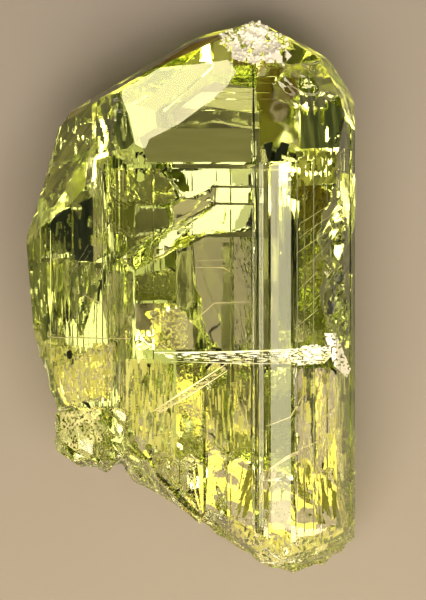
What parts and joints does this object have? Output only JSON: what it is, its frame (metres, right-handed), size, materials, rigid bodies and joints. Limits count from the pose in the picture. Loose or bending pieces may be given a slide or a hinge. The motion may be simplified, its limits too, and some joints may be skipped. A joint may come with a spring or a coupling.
{
  "type": "zoisite crystal specimen",
  "caption": "Clear yellow-green gem crystal lying on its flat back: a ribbed flattened prism with a sloping chipped top end and a slanted broken foot.",
  "frame": {"origin": "centre of the bounding box in X and Y, on the plane of the flat back that the crystal lies on", "axes": "+Y along the prism towards the chipped top end, +Z out of the broad front face, +X towards the right side seen from the front"},
  "size_m": [0.0154, 0.0262, 0.0088],
  "materials": {
    "zoisite": "clear yellow-green crystal, glassy faces, rough glassy breaks"
  },
  "bodies": {
    "root": {"zoisite_crystal": "zoisite"}
  },
  "joints": []
}
